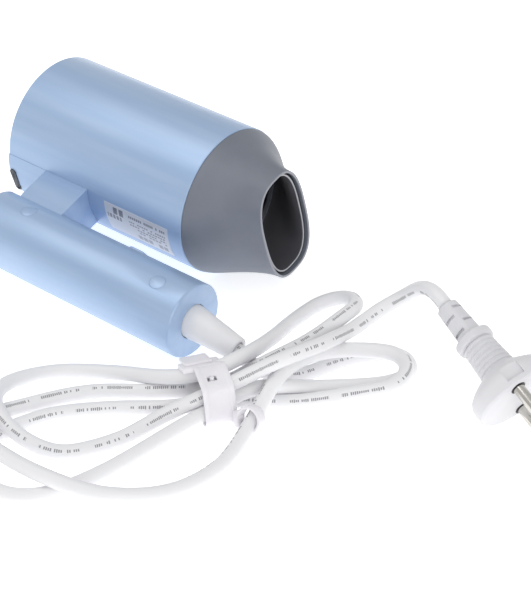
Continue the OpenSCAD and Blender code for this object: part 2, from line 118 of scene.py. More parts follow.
def carve(obj, kind, tool):
    """Joins (UNION), takes out (DIFFERENCE) or keeps only what is inside (INTERSECT) a tool shape."""
    helper = solid("tool", tool)
    mesh = helper.data
    apply(obj, ("BOOLEAN", {"operation": kind, "solver": "EXACT", "object": helper}))
    bpy.data.objects.remove(helper)
    bpy.data.meshes.remove(mesh)
    return obj


def cut(obj, *tools):
    """Takes the tool shapes, made by functions that fill a bmesh, out of obj."""
    for tool in tools:
        carve(obj, "DIFFERENCE", tool)
    return obj


def soften(obj, width, segments=2, angle=35):
    """Rounds the edges sharper than angle, and shades the result smooth."""
    apply(obj, ("BEVEL", {"width": width * MM, "segments": segments, "limit_method": "ANGLE",
                          "angle_limit": math.radians(angle), "use_clamp_overlap": True,
                          "miter_outer": "MITER_ARC"}))
    shade(obj, 30)
    return obj


# ---- the dryer's own frame ---------------------------------------------------

BARREL_R, HANDLE_R, AXIS_GAP = 33.0, 16.3, 61.5
TILT = math.asin((BARREL_R - HANDLE_R) / AXIS_GAP)
BARREL_Y = (BARREL_R + HANDLE_R + AXIS_GAP * math.cos(TILT)) / 2 - BARREL_R
PLACED = (Matrix.Scale(MM, 4) @ Matrix.Translation((0, BARREL_Y, BARREL_R))
          @ Matrix.Rotation(TILT, 4, "X"))
REAR_X, SEAM_X, FRONT_X = -65.6, 35.2, 65.6
HANDLE_X0, HANDLE_X1 = -48.1, 64.1
PIN_X, PIN_Y = -27.5, 4.4 - AXIS_GAP
NECK_X0, NECK_X1, NECK_HALF = -42.8, -18.0, 10.0
KNUCKLE_R = NECK_X1 - PIN_X
SLOT_HALF = NECK_HALF + 0.7
SCREW_X = 49.3


def lathe(bm, profile, place=PLACED, y=0.0, steps=128):
    """Turns a profile of (x, radius) points round the axis through y, in the frame place."""
    rings = []
    for x, r in profile:
        if r < 1e-6:
            rings.append([bm.verts.new(place @ Vector((x, y, 0)))])
            continue
        ring = []
        for i in range(steps):
            a = 2 * math.pi * i / steps
            ring.append(bm.verts.new(place @ Vector((x, y + r * math.cos(a), r * math.sin(a)))))
        rings.append(ring)
    for low, high in zip(rings, rings[1:]):
        for i in range(steps):
            j = (i + 1) % steps
            corners = [low[i % len(low)], low[j % len(low)], high[j % len(high)], high[i % len(high)]]
            bm.faces.new(list(dict.fromkeys(corners)))
    return rings


def closed_lathe(bm, profile, place=PLACED, y=0.0, steps=128):
    """As lathe, for a profile that comes back to its own start, as a tube's wall does."""
    lathe_rings = lathe(bm, profile, place, y, steps)
    first, last = lathe_rings[0], lathe_rings[-1]
    for i in range(steps):
        j = (i + 1) % steps
        bm.faces.new((last[i], last[j], first[j], first[i]))


def box(low, high, place=PLACED):
    """A function that fills a bmesh with a box between two corners."""
    def fill(bm):
        made = bmesh.ops.create_cube(bm, size=1)["verts"]
        for v in made:
            v.co = place @ Vector([lo + (c + 0.5) * (hi - lo) for lo, hi, c in zip(low, high, v.co)])
    return fill


def peg(point, axis, length, radius, place=PLACED, steps=48, tip=None):
    """A function that fills a bmesh with a round rod from point along axis; tip is the far radius."""
    def fill(bm):
        turn = Vector((0, 0, 1)).rotation_difference(Vector(axis)).to_matrix().to_4x4()
        made = bmesh.ops.create_cone(bm, cap_ends=True, segments=steps, radius1=radius,
                                     radius2=radius if tip is None else tip, depth=length)["verts"]
        at = place @ Matrix.Translation(point) @ turn @ Matrix.Translation((0, 0, length / 2))
        for v in made:
            v.co = at @ v.co
    return fill


def arc(x, y, r, start, end, steps):
    """Points on an arc about (x, y), with the angles in degrees."""
    return [(x + r * math.cos(math.radians(start + (end - start) * i / steps)),
             y + r * math.sin(math.radians(start + (end - start) * i / steps)))
            for i in range(steps + 1)]

# ---- shader nodes ------------------------------------------------------------


class Value:
    """A number that a material works out, which adds and multiplies like a number."""

    def __init__(self, look, socket):
        self.look, self.socket = look, socket

    def _math(self, kind, a, b=None, c=None):
        node = self.look.tree.nodes.new("ShaderNodeMath")
        node.operation = kind
        for at, value in enumerate((a, b, c)):
            if isinstance(value, Value):
                self.look.tree.links.new(value.socket, node.inputs[at])
            elif value is not None:
                node.inputs[at].default_value = value
        return Value(self.look, node.outputs[0])

    def __add__(self, other): return self._math("ADD", self, other)
    def __radd__(self, other): return self._math("ADD", other, self)
    def __sub__(self, other): return self._math("SUBTRACT", self, other)
    def __rsub__(self, other): return self._math("SUBTRACT", other, self)
    def __mul__(self, other): return self._math("MULTIPLY", self, other)
    def __rmul__(self, other): return self._math("MULTIPLY", other, self)
    def __truediv__(self, other): return self._math("DIVIDE", self, other)
    def __rtruediv__(self, other): return self._math("DIVIDE", other, self)
    def __gt__(self, other): return self._math("GREATER_THAN", self, other)
    def __lt__(self, other): return self._math("LESS_THAN", self, other)
    def abs(self): return self._math("ABSOLUTE", self)
    def wave(self): return self._math("SINE", self)
    def part(self): return self._math("FRACT", self)
    def floor(self): return self._math("FLOOR", self)
    def most(self, other): return self._math("MAXIMUM", self, other)


class Look:
    """A procedural material, built round one Principled shader."""

    def __init__(self, name, rough=0.4, metallic=0.0, coat=0.0, coat_rough=0.1, sss=0.0, ior=1.45):
        self.material = bpy.data.materials.new(name)
        self.material.use_nodes = True
        self.tree = self.material.node_tree
        self.shader = self.tree.nodes["Principled BSDF"]
        for key, value in (("Roughness", rough), ("Metallic", metallic), ("Coat Weight", coat),
                           ("Coat Roughness", coat_rough), ("Subsurface Weight", sss), ("IOR", ior)):
            self.shader.inputs[key].default_value = value
        if sss:
            self.shader.inputs["Subsurface Radius"].default_value = (0.003, 0.003, 0.003)
            self.shader.inputs["Subsurface Scale"].default_value = 1.0

    def node(self, kind, output=0, settings=None, **inputs):
        """A node of that kind, with its inputs given by name; returns one of its outputs."""
        node = self.tree.nodes.new("ShaderNode" + kind)
        for key, value in (settings or {}).items():
            setattr(node, key, value)
        for key, value in inputs.items():
            socket = node.inputs[key.replace("_", " ")]
            if isinstance(value, Value):
                self.tree.links.new(value.socket, socket)
            else:
                socket.default_value = value
        return Value(self, node.outputs[output])

    def place(self):
        return self.node("TexCoord", "Object")

    def xyz(self, where=None):
        where = where or self.place()
        return [self.node("SeparateXYZ", i, Vector=where) for i in range(3)]

    def noise(self, scale, detail=3.0, where=None, rough=0.5):
        return self.node("TexNoise", 0, Vector=where or self.place(), Scale=scale, Detail=detail,
                         Roughness=rough)

    def stretched(self, x, y, z):
        return self.node("Mapping", 0, Vector=self.place(), Scale=(x, y, z))

    def ramp(self, value, low, high):
        """Goes from 0 to 1, smoothly, as value goes from low to high."""
        return self.node("MapRange", 0, {"interpolation_type": "SMOOTHSTEP"}, Value=value,
                         From_Min=low, From_Max=high, To_Min=0.0, To_Max=1.0)

    def blend(self, share, a, b):
        """Colour a where share is 0, b where it is 1."""
        node = self.tree.nodes.new("ShaderNodeMix")
        node.data_type = "RGBA"
        for at, value in ((0, share), (6, a), (7, b)):
            if isinstance(value, Value):
                self.tree.links.new(value.socket, node.inputs[at])
            else:
                node.inputs[at].default_value = value
        return Value(self, node.outputs[2])

    def colour(self, value):
        self.put("Base Color", value)

    def put(self, name, value):
        socket = self.shader.inputs[name]
        if isinstance(value, Value):
            self.tree.links.new(value.socket, socket)
        else:
            socket.default_value = value

    def bump(self, height, distance, strength=1.0):
        bump = self.node("Bump", 0, Height=height, Distance=distance, Strength=strength)
        self.tree.links.new(bump.socket, self.shader.inputs["Normal"])

    def on(self, *objs):
        for obj in objs:
            if isinstance(obj, str):
                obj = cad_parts[obj]
            obj.data.materials.clear()
            obj.data.materials.append(self.material)
            for face in obj.data.polygons:
                face.material_index = 0


def srgb(r, g, b):
    """A colour given as on a screen, from 0 to 255, turned linear."""
    def one(c):
        c /= 255
        return c / 12.92 if c <= 0.04045 else ((c + 0.055) / 1.055) ** 2.4
    return (one(r), one(g), one(b), 1.0)


def plastic(name, light, dark, rough=0.4, grain=2600.0, height=0.00002, coat=0.0, sss=0.0):
    """Moulded plastic: a fine grain, a little mottling, and small changes of gloss."""
    look = Look(name, rough=rough, coat=coat, sss=sss)
    mottle = look.noise(45.0, 4.0)
    look.colour(look.blend(look.ramp(mottle, 0.3, 0.7), dark, light))
    look.put("Roughness", rough - 0.04 + 0.08 * look.noise(120.0, 2.0))
    look.bump(look.noise(grain, 2.0), height)
    return look


def metal(name, colour, rough=0.25, scale=(300.0, 6000.0, 6000.0)):
    """Bright metal with fine marks along its length."""
    look = Look(name, rough=rough, metallic=1.0)
    lines = look.noise(1.0, 3.0, look.stretched(*scale))
    look.colour(look.blend(lines, [c * 0.85 for c in colour[:3]] + [1.0], colour))
    look.put("Roughness", rough - 0.06 + 0.14 * lines)
    look.bump(lines, 0.00001)
    return look


# Pearl paint: blue with pale streaks drawn along the barrel, under a soft coat.
def pearl(name, light, dark):
    look = Look(name, rough=0.4, metallic=0.28, coat=0.35, coat_rough=0.22)
    streaks = look.noise(1.0, 4.0, look.stretched(9.0, 120.0, 120.0))
    flakes = look.noise(5200.0, 2.0)
    look.colour(look.blend(look.ramp(streaks * 0.8 + flakes * 0.2, 0.3, 0.7), dark, light))
    look.put("Roughness", 0.34 + 0.1 * streaks + 0.04 * flakes)
    look.bump(flakes * 0.3 + look.noise(300.0, 2.0) * 0.7, 0.00003)
    return look


PEARL = pearl("pearl_blue", srgb(172, 195, 224), srgb(157, 183, 217))
NOZZLE = plastic("nozzle_grey", srgb(120, 125, 136), srgb(112, 117, 128), rough=0.46)
DUCT = plastic("duct_grey", srgb(96, 96, 101), srgb(86, 86, 91), rough=0.5)
GRILLE = plastic("grille_grey", srgb(88, 92, 98), srgb(78, 82, 88), rough=0.5)
CORD_WHITE = srgb(236, 236, 238)
PVC = plastic("white_pvc", srgb(238, 238, 240), srgb(230, 230, 233), rough=0.42, grain=1500.0, sss=0.08)
STRAP = plastic("tie_plastic", srgb(241, 239, 243), srgb(233, 231, 236), rough=0.38, grain=1200.0, sss=0.1)
BLACK = plastic("black_plastic", srgb(42, 42, 45), srgb(30, 30, 33), rough=0.4)
NYLON = plastic("white_nylon", srgb(226, 225, 218), srgb(214, 213, 206), rough=0.48)
CAPACITOR = plastic("capacitor_yellow", srgb(222, 178, 72), srgb(206, 160, 56), rough=0.3, coat=0.4)
WIRE = plastic("wire_red", srgb(176, 60, 48), srgb(150, 46, 38), rough=0.45)
STEEL = metal("steel", (0.62, 0.63, 0.66, 1.0))
CAN = metal("motor_can", (0.5, 0.51, 0.54, 1.0), rough=0.34)
NICKEL = metal("nickel", (0.66, 0.64, 0.6, 1.0), rough=0.2, scale=(900.0, 900.0, 900.0))
HEATING = metal("heater_wire", (0.32, 0.31, 0.31, 1.0), rough=0.42)
BRASS = metal("brass", (0.66, 0.47, 0.2, 1.0), rough=0.3)
PLATED = metal("fuse_metal", (0.6, 0.62, 0.65, 1.0), rough=0.3)

for look, names in (
        (PEARL, ("handle_upper", "handle_lower", "hinge_caps", "screw_plug", "switch_knob", "barrel_tube",
                 "neck")),
        (NOZZLE, ("nozzle_collar", "nozzle_shell")), (DUCT, ("nozzle_duct", "outlet_grille")),
        (GRILLE, ("rear_grille",)), (NICKEL, ("plug_pins",)),
        (STEEL, ("hinge_pin", "hinge_washers", "handle_screw", "clamp_screws", "motor_shaft")),
        (CAN, ("motor",)), (PVC, ("strain_relief", "power_cord", "plug_body")), (STRAP, ("cord_tie",)),
        (BLACK, ("switch_body", "pin_collars")), (NYLON, ("cord_clamp", "motor_holder", "fan_impeller")),
        (CAPACITOR, ("noise_capacitor",)), (WIRE, ("core_wires",)), (HEATING, ("heater_coils",)),
        (BRASS, ("thermostat",)), (PLATED, ("thermal_fuse",))):
    look.on(*names)

# Woven mesh of the intake filter, seen as square threads across the rear opening.
mesh_look = Look("filter_mesh", rough=0.6)
_, across, up = mesh_look.xyz()
weave = (across * 5200.0).wave() * (up * 5200.0).wave()
mesh_look.colour(mesh_look.blend(mesh_look.ramp(weave, -0.2, 0.5), srgb(60, 61, 64), srgb(132, 134, 138)))
mesh_look.bump(weave, 0.0001)
mesh_look.on("intake_filter")

# Pressed mica: layered flakes in a warm grey.
mica = Look("mica", rough=0.36, coat=0.2)
flake = mica.node("TexVoronoi", 0, Vector=mica.place(), Scale=420.0)
mica.colour(mica.blend(flake, srgb(214, 202, 168), srgb(176, 160, 122)))
mica.bump(flake, 0.00004)
mica.on("heater_liner", "mica_boards")

# Circuit board: green mask over copper tracks.
board = Look("board_green", rough=0.35, coat=0.3)
tracks = board.node("TexBrick", 0, Vector=board.place(), Scale=260.0)
board.colour(board.blend(board.noise(500.0), srgb(30, 88, 52), srgb(44, 118, 72)))
board.bump(tracks, 0.00003)
board.on("rectifier_board")

# ---- the cord ----------------------------------------------------------------

CORD_D = 6.2
CORD_ROUTE = [
    (86, -38, 13.3), (97, -38.5, 9), (108, -29, 3.5), (116, -11, 3.2), (124, 3, 3.5), (132.5, 8, 5),
    (141.5, 5.5, 6.5), (146.5, -3, 7.5), (144, -12, 8), (135, -21, 7.5), (122, -31, 6.5),
    (106, -50, 10), (96, -73, 5), (87, -121, 3.2), (78, -143, 3.2), (65, -151, 3.2), (49, -147, 3.2),
    (41, -133, 3.2), (47, -109, 3.2), (63, -90, 3.2), (83, -74, 4), (99, -56, 4.3), (120, -41, 4.5),
    (143, -25.5, 11.5), (150, -18, 13), (149, -7, 14), (140, -1, 13.5), (129, -3.5, 12),
    (114, -17, 11.8), (112, -41, 14.8), (116, -66, 6), (120, -89, 3.2), (115, -113, 4.5),
    (100, -132, 8.5), (77, -139, 9.6), (53, -140, 10), (39, -136, 9), (32, -125, 5.5), (38, -106, 3.2),
    (51, -86, 3.2), (71, -70, 3.5), (90, -55, 6), (102, -37, 13.5), (107, -16, 14), (109.5, 6, 16),
    (107.5, 16, 14), (98, 21, 10.5), (89.5, 15.5, 7), (86.5, 4, 5), (93, -25, 12.5), (95, -46, 17.5),
    (89, -59, 15.3), (75, -66.5, 10.5), (51, -73, 5), (31, -86, 3.5), (26, -108, 8.5),
    (33, -121, 11.5), (50, -127, 8.5), (67, -121, 3.5), (79, -102, 3.2), (86, -80, 6), (99, -60, 13.4),
    (111, -42, 21), (117, -18, 19), (115, 6, 12), (117, 18, 14), (124, 26, 20), (133, 25, 29),
    (142, 21.5, 32), (149.3, 18.5, 30.1),
]


def smooth_line(points, steps):
    """A smooth curve through the points, with that many steps between each pair."""
    points = [Vector(p) for p in points]
    ends = [points[0]] + points + [points[-1]]
    line = []
    for p0, p1, p2, p3 in zip(ends, ends[1:], ends[2:], ends[3:]):
        t1 = max(math.sqrt((p1 - p0).length), 0.001)
        t2 = t1 + math.sqrt((p2 - p1).length)
        t3 = t2 + max(math.sqrt((p3 - p2).length), 0.001)
        for i in range(steps):
            share = i / steps
            u = t1 + (t2 - t1) * share
            a1, a2 = p0.lerp(p1, u / t1), p1.lerp(p2, share)
            a3 = p2.lerp(p3, (u - t2) / (t3 - t2))
            b1, b2 = a1.lerp(a2, u / t2), a2.lerp(a3, (u - t1) / (t3 - t1))
            line.append(b1.lerp(b2, share))
    line.append(points[-1])
    for p in line:
        p.z = max(p.z, CORD_D / 2 + 0.05)
    return line


def spaced(line, step):
    """Points along a line a step apart, and the line's length."""
    run = [0.0]
    for a, b in zip(line, line[1:]):
        run.append(run[-1] + (b - a).length)
    count = round(run[-1] / step)
    out, at = [], 0
    for i in range(count + 1):
        want = run[-1] * i / count
        while at < len(run) - 2 and run[at + 1] < want:
            at += 1
        share = (want - run[at]) / max(run[at + 1] - run[at], 1e-9)
        out.append(line[at].lerp(line[at + 1], share))
    return out, run[-1]


def eased(line, rounds):
    """The line with its small wobbles smoothed away; its ends stay."""
    for _ in range(rounds):
        line = [line[0]] + [(a + 2 * b + c) / 4 for a, b, c in zip(line, line[1:], line[2:])] + [line[-1]]
    return line


CORD_LINE, _ = spaced(smooth_line(CORD_ROUTE, 16), 1.6)
CORD_LINE = eased(CORD_LINE, 8)
CORD_LENGTH = sum((b - a).length for a, b in zip(CORD_LINE, CORD_LINE[1:]))


def tube(bm, line, radius, sides, scale=MM):
    """A tube along the line whose rings don't twist, with the run and the turn as its UV."""
    uv = bm.loops.layers.uv.new("along")
    up = Vector((0, 0, 1))
    rings, runs, run = [], [], 0.0
    for i, p in enumerate(line):
        ahead = (line[min(i + 1, len(line) - 1)] - line[max(i - 1, 0)]).normalized()
        up = (up - ahead * up.dot(ahead)).normalized()
        side = ahead.cross(up)
        if i:
            run += (p - line[i - 1]).length
        r = radius(run) if callable(radius) else radius
        rings.append([bm.verts.new((p + r * (math.cos(a) * side + math.sin(a) * up)) * scale)
                      for a in (2 * math.pi * k / sides for k in range(sides))])
        runs.append(run * scale)
    for i, (low, high) in enumerate(zip(rings, rings[1:])):
        for k in range(sides):
            j = (k + 1) % sides
            face = bm.faces.new((low[k], low[j], high[j], high[k]))
            for loop, (u, v) in zip(face.loops, ((i, k), (i, k + 1), (i + 1, k + 1), (i + 1, k))):
                loop[uv].uv = (runs[u], v / sides)
    for ring in (rings[0], rings[-1]):
        bm.faces.new(ring)


power_cord = piece("mains_cord", lambda bm: tube(bm, CORD_LINE, CORD_D / 2, 24), "handle", "white_pvc",
                   "power_cord", smooth=0)

# The cord's skin: soft white, with a faint row of short generic dashes along one side.
LETTERS_PER_M, WORDS_PER_M, PRINT_TURN = 1250.0, 47.0, 0.22
cord_look = Look("cord_white", rough=0.4, sss=0.08)
run_at, turn_at, _ = cord_look.xyz(cord_look.node("UVMap", 0, {"uv_map": "along"}))
cell = run_at * LETTERS_PER_M
letter = cord_look.node("TexWhiteNoise", 0, {"noise_dimensions": "1D"}, W=cell.floor())
group = (run_at * WORDS_PER_M).part()
in_row = (turn_at - PRINT_TURN).abs() < 0.018 + 0.018 * letter
mark = in_row * (letter > 0.2) * (group < 0.76) * (cell.part() < 0.66)
cord_look.colour(cord_look.blend(mark * 0.75, CORD_WHITE, srgb(96, 96, 102)))
cord_look.put("Roughness", 0.36 + 0.1 * cord_look.noise(160.0))
cord_look.bump(cord_look.noise(900.0, 3.0), 0.00003)
cord_look.on(power_cord)

# ---- shapes for the moulded pieces -------------------------------------------


def skin(bm, rings, closed=False):
    """Joins rings of points one after the other; a closed skin joins the last to the first."""
    made = [[bm.verts.new(p) for p in ring] for ring in rings]
    pairs = list(zip(made, made[1:])) + ([(made[-1], made[0])] if closed else [])
    for low, high in pairs:
        n = len(low)
        for i in range(n):
            bm.faces.new((low[i], low[(i + 1) % n], high[(i + 1) % n], high[i]))
    if not closed:
        bm.faces.new(made[0])
        bm.faces.new(made[-1])


def section(x, a, b, p, n, place=PLACED):
    """A ring at x with half widths a along y and b along z, from round (p = 2) to squarish."""
    ring = []
    for i in range(n):
        c, s = math.cos(2 * math.pi * i / n), math.sin(2 * math.pi * i / n)
        ring.append(place @ Vector((x, a * math.copysign(abs(c) ** (2 / p), c),
                                    b * math.copysign(abs(s) ** (2 / p), s))))
    return ring


def obround(bm, at, half, r, depth, place):
    """A rounded slot, long along z, from at towards -y by depth."""
    outline = arc(0, half, r, 0, 180, 16) + arc(0, -half, r, 180, 360, 16)
    skin(bm, [[place @ Vector((at[0] + x, at[1] - d, at[2] + z)) for x, z in outline] for d in (0, depth)])


# ---- barrel ------------------------------------------------------------------

WALL = 2.0
RIM = 0.8
BARREL_WALL = (
    [(REAR_X, BARREL_R - WALL + 0.3), (REAR_X, BARREL_R - RIM)]
    + arc(REAR_X + RIM, BARREL_R - RIM, RIM, 180, 90, 6)[1:]
    + [(-18, BARREL_R), (10, BARREL_R)] + arc(SEAM_X - 0.5, BARREL_R - 0.5, 0.5, 90, 0, 6)
    + [(SEAM_X, BARREL_R - WALL + 0.3), (SEAM_X - 0.3, BARREL_R - WALL), (REAR_X + 0.3, BARREL_R - WALL)])


def barrel_mesh(bm):
    closed_lathe(bm, BARREL_WALL, steps=160)


def neck_strip_box(gap):
    return box((REAR_X - 1, -BARREL_R - 1, -NECK_HALF - gap), (NECK_X1 + gap, -BARREL_R + 7, NECK_HALF + gap))


LATCH_X, LATCH_Z, LATCH_HALF, LATCH_R, LATCH_PROUD = REAR_X + 1.7, -3.2, 4.6, 1.6, 1.4
LATCH_NOTCH = LATCH_R + 0.15


def latch_shape(r, low):
    """The latch tab's obround, from just proud of the neck's band down to low."""
    depth = low + BARREL_R + LATCH_PROUD
    return lambda bm: obround(bm, (LATCH_X, low, LATCH_Z), LATCH_HALF, r, depth, PLACED)


barrel = piece("barrel_shell", barrel_mesh, "barrel", "pearl_blue", "barrel_tube")
cut(barrel, neck_strip_box(0.07), latch_shape(LATCH_NOTCH, -28))
soften(barrel, 0.18)


def heater_ribs(bm):
    """Four ribs inside the barrel that hold the heater's liner."""
    for i in range(4):
        turned = PLACED @ Matrix.Rotation(math.radians(45 + 90 * i), 4, "X")
        box((-8.6, 29.1, -0.8), (25.7, 30.99, 0.8), turned)(bm)


piece("heater_ribs", heater_ribs, "barrel", "pearl_blue")


def neck_block(bm):
    """The block between barrel and handle, which ends in the round knuckle on the pin."""
    outline = ([(NECK_X1, -31.3), (NECK_X0, -31.3)] + arc(NECK_X0 + 16.5, -45, 16.5, 180, 229.5, 20)
               + arc(PIN_X, PIN_Y, KNUCKLE_R, 184, 360, 40))
    skin(bm, [[PLACED @ Vector((x, y, z)) for x, y in outline] for z in (-NECK_HALF, NECK_HALF)])


def neck_band(bm):
    """The strip along the barrel over the neck, flat on one side and rounded to the barrel's on the other."""
    top = -BARREL_R - 1
    outline = [(top + 5, 10), (top + 2.4, 10), (top + 1.75, 8.6), (top + 1.2, 7.2), (top + 0.7, 5.4),
               (top + 0.3, 3.5), (top, 0), (top - 0.1, -6), (top + 0.1, -10), (top + 5, -10)]
    skin(bm, [[PLACED @ Vector((x, y, z)) for y, z in outline] for x in (REAR_X, NECK_X1)])


neck = piece("neck_block", neck_band, "barrel", "pearl_blue", "neck")
cut(neck, peg((REAR_X - 2, 0, 0), (1, 0, 0), 60, BARREL_R - WALL, steps=160))
carve(neck, "UNION", neck_block)
cut(neck, latch_shape(LATCH_NOTCH, -28), peg((PIN_X, PIN_Y, -15), (0, 0, 1), 30, 2.6),
    peg((NECK_X0 + 6, -29, 0), (0, -1, 0), 18, 3))
soften(neck, 0.4, 3)

tab = piece("latch_tab", latch_shape(LATCH_R, -30.5), "barrel", "grille_grey")
soften(tab, 0.45, 3)

# ---- handle ------------------------------------------------------------------

EDGE = 1.0
HANDLE_BAR = ([(HANDLE_X0, 0)] + arc(HANDLE_X0 + EDGE, HANDLE_R - EDGE, EDGE, 180, 90, 6)
              + [(-10, HANDLE_R), (30, HANDLE_R)] + arc(HANDLE_X1 - EDGE, HANDLE_R - EDGE, EDGE, 90, 0, 6)
              + [(HANDLE_X1, 0)])
CHEEK_Y = PIN_Y - (PIN_X - NECK_X0) - 0.5
HANDLE_TOP = HANDLE_R - AXIS_GAP
KNOB_X0, KNOB_X1 = 6.0, 27.6
CAP_R, CAP_HOLE_R = 3.42, 3.5


def handle_half(name, side):
    half = piece(name, lambda bm: lathe(bm, HANDLE_BAR, y=-AXIS_GAP), "handle", "pearl_blue",
                 {1: "handle_upper", -1: "handle_lower"}[side])
    away = sorted((-side * 30, side * 0.02))
    cut(half,
        box((HANDLE_X0 - 5, -AXIS_GAP - 30, away[0]), (HANDLE_X1 + 5, -AXIS_GAP + 30, away[1])),
        peg((-13, -AXIS_GAP, 0), (1, 0, 0), HANDLE_X1 - 2.5 + 13, HANDLE_R - 2, steps=96),
        box((HANDLE_X0 - 1, CHEEK_Y, -SLOT_HALF), (PIN_X, HANDLE_TOP + 1, SLOT_HALF)),
        box((PIN_X - 1, PIN_Y, -SLOT_HALF), (NECK_X1 + 0.4, HANDLE_TOP + 1, SLOT_HALF)),
        peg((PIN_X, PIN_Y, -SLOT_HALF), (0, 0, 1), 2 * SLOT_HALF, KNUCKLE_R + 0.8, steps=96),
        peg((PIN_X, -AXIS_GAP, 0), (1, 0, 0), 16, 4),
        peg((PIN_X, PIN_Y, -13), (0, 0, 1), 26, 2.5),
        peg((PIN_X, PIN_Y, side * 13), (0, 0, side), 8, CAP_HOLE_R, steps=64),
        box((KNOB_X0, HANDLE_TOP - 4, -2.6), (KNOB_X1, HANDLE_TOP + 1, 2.6)),
        peg((HANDLE_X1 - 4, -AXIS_GAP, 0), (1, 0, 0), 6, 7.6, steps=64))
    if side > 0:
        cut(half, peg((SCREW_X, -AXIS_GAP, 13), (0, 0, 1), 8, CAP_HOLE_R, steps=64))
    soften(half, 0.16)
    return half


handle_top = handle_half("handle_shell_upper", 1)
handle_bottom = handle_half("handle_shell_lower", -1)


def cap(name, x, y, side, low, *nodes):
    """A round cap, cut flush with the handle."""
    disc = peg((x, y, side * low), (0, 0, side), 7, CAP_R, steps=64)
    made = piece(name, disc, "handle", "pearl_blue", *nodes)
    carve(made, "INTERSECT", peg((HANDLE_X0, -AXIS_GAP, 0), (1, 0, 0), 112, HANDLE_R + 0.03, steps=256))
    return soften(made, 0.12)


caps = [cap("pin_cap_upper", PIN_X, PIN_Y, 1, 13, "hinge_caps"), cap("pin_cap_lower", PIN_X, PIN_Y, -1, 13),
        cap("screw_cap", SCREW_X, -AXIS_GAP, 1, 15, "screw_plug")]


def inside_posts(side):
    """Posts, ribs and the wires' saddle inside one half of the handle."""
    def fill(bm):
        for x in (3, 30.5):
            box((x, -55.3, min(6 * side, 10.4 * side)), (x + 2.5, -50.6, max(6 * side, 10.4 * side)))(bm)
        if side > 0:
            rings = [(6, 1.7), (6, 4.6), (13.5, 4.6), (13.5, 1.7)]
        else:
            rings = [(-13.6, 1.2), (-13.6, 3.7), (-2, 3.7), (-2, 1.2)]
            box((37, -67.9, -12.4), (43, -55.1, -3.7))(bm)
            for y in (-70.5, -52.5):
                peg((40, y, -10.8), (0, 0, 1), 9.2, 2.6)(bm)
        upright = PLACED @ Matrix.Translation((SCREW_X, -AXIS_GAP, 0)) @ Matrix.Rotation(-math.pi / 2, 4, "Y")
        closed_lathe(bm, rings, upright, steps=48)
    return fill


piece("posts_upper", inside_posts(1), "handle", "pearl_blue")
piece("posts_lower", inside_posts(-1), "handle", "pearl_blue")

# ---- nozzle ------------------------------------------------------------------

DUCT_END = FRONT_X - 1.7


def loft(x0, x1, r, a, b, lip, steps=28, n=112):
    """Rings of a wall that goes from round to oblong; lip gives the rounded front as (back, inset)."""
    def ring(x, inset):
        s = min(max((x - x0) / (x1 - x0), 0), 1)
        t = s ** 0.8
        w = t * t * (3 - 2 * t)
        return section(x, r + (a - r) * w - inset, r + (b - r) * w - inset, 2 + 0.8 * w * w, n)
    reach = lip[0][0]
    outer = [ring(x0 + (x1 - reach - x0) * k / steps, 0) for k in range(steps)]
    inner = [ring(x0 + (x1 - reach - x0) * k / steps, lip[-1][1]) for k in reversed(range(steps))]
    return outer + [ring(x1 - back, inset) for back, inset in lip] + inner


def round_lip(r, wall):
    """The rounded end of a wall, as how far back from the end and how far in from outside."""
    turn = [math.radians(15 * i) for i in range(7)]
    outside = [(r - r * math.sin(t), r - r * math.cos(t)) for t in turn]
    return outside + [(back, wall - inset) for back, inset in reversed(outside)]


shell = piece("nozzle_outer", lambda bm: skin(bm, loft(SEAM_X + 0.3, FRONT_X, 32.75, 14.3, 27.6,
                                                        round_lip(0.45, 1.1)), closed=True),
              "nozzle", "nozzle_grey", "nozzle_shell")
duct = piece("nozzle_inner", lambda bm: skin(bm, loft(SEAM_X + 2.8, DUCT_END, 27.6, 12.4, 25.7,
                                                       round_lip(0.35, 0.8)), closed=True),
             "nozzle", "duct_grey", "nozzle_duct")

# ---- strain relief, plug and tie ---------------------------------------------

RELIEF = (Matrix.Scale(MM, 4) @ Matrix.Translation((PLACED @ Vector((HANDLE_X1, -AXIS_GAP, 0))) / MM)
          @ Matrix.Rotation(math.radians(8), 4, "Y"))


def relief_mesh(bm):
    closed_lathe(bm, [(-6.3, 3.2), (-6.3, 8.9), (-2.7, 8.9), (-2.6, 7.3), (0, 7.3)]
                 + arc(23.1, 4.2, 0.9, 80, 0, 6) + arc(23.4, 3.7, 0.45, 0, -90, 4) + [(22, 3.2)],
                 RELIEF, steps=64)


relief = piece("cord_sleeve", relief_mesh, "handle", "white_pvc", "strain_relief")

PLUG = (Matrix.Scale(MM, 4) @ Matrix.Translation((195, 3.3, 16))
        @ Matrix.Rotation(math.radians(-18.4), 4, "Z")
        @ Matrix.Rotation(math.radians(16.4), 4, "Y") @ Matrix.Rotation(math.radians(24), 4, "X"))
CONTACTS = (-9.5, 9.5)


def plug_mesh(bm):
    profile = [(-50, 0), (-50, 4.0)] + arc(-49.4, 4.1, 0.6, 180, 90, 4)[1:] + [(-34, 5.4), (-33, 6.2)]
    profile += arc(-32.0, 7.2, 0.8, 180, 90, 4) + arc(-29.9, 7.2, 0.8, 90, 0, 4) + [(-28.9, 6.3)]
    for i in range(6):
        x, r = -28.4 + 2.3 * i, 6.5 + 0.16 * i
        profile += [(x, r), (x + 0.3, r + 0.35), (x + 1.3, r + 0.38), (x + 1.6, r)]
    lathe(bm, profile + [(-14.2, 7.5), (-12, 8.6), (-11, 0)], PLUG, steps=64)


